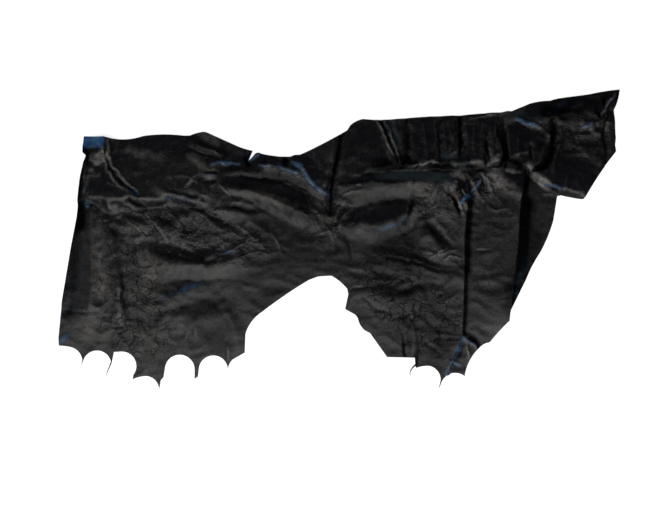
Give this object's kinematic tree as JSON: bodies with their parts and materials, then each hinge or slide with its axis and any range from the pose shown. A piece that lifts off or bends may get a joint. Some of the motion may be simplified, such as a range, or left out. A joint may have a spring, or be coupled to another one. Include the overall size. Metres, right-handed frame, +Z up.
{
  "type": "piece of leather",
  "caption": "Soft dark hide lying loosely with folds, two long tucks, a wide bay and scalloped lower edges.",
  "frame": {"origin": "centre of the bounding box, at the surface that the hide lies on", "axes": "+X along the hide's length towards its narrow arm, +Y across it away from the scalloped edge, +Z up from the surface that it lies on"},
  "size_m": [0.928, 0.4961, 0.0147],
  "materials": {
    "leather": "soft satin grain"
  },
  "bodies": {
    "root": {"leather_hide": "leather"}
  },
  "joints": []
}
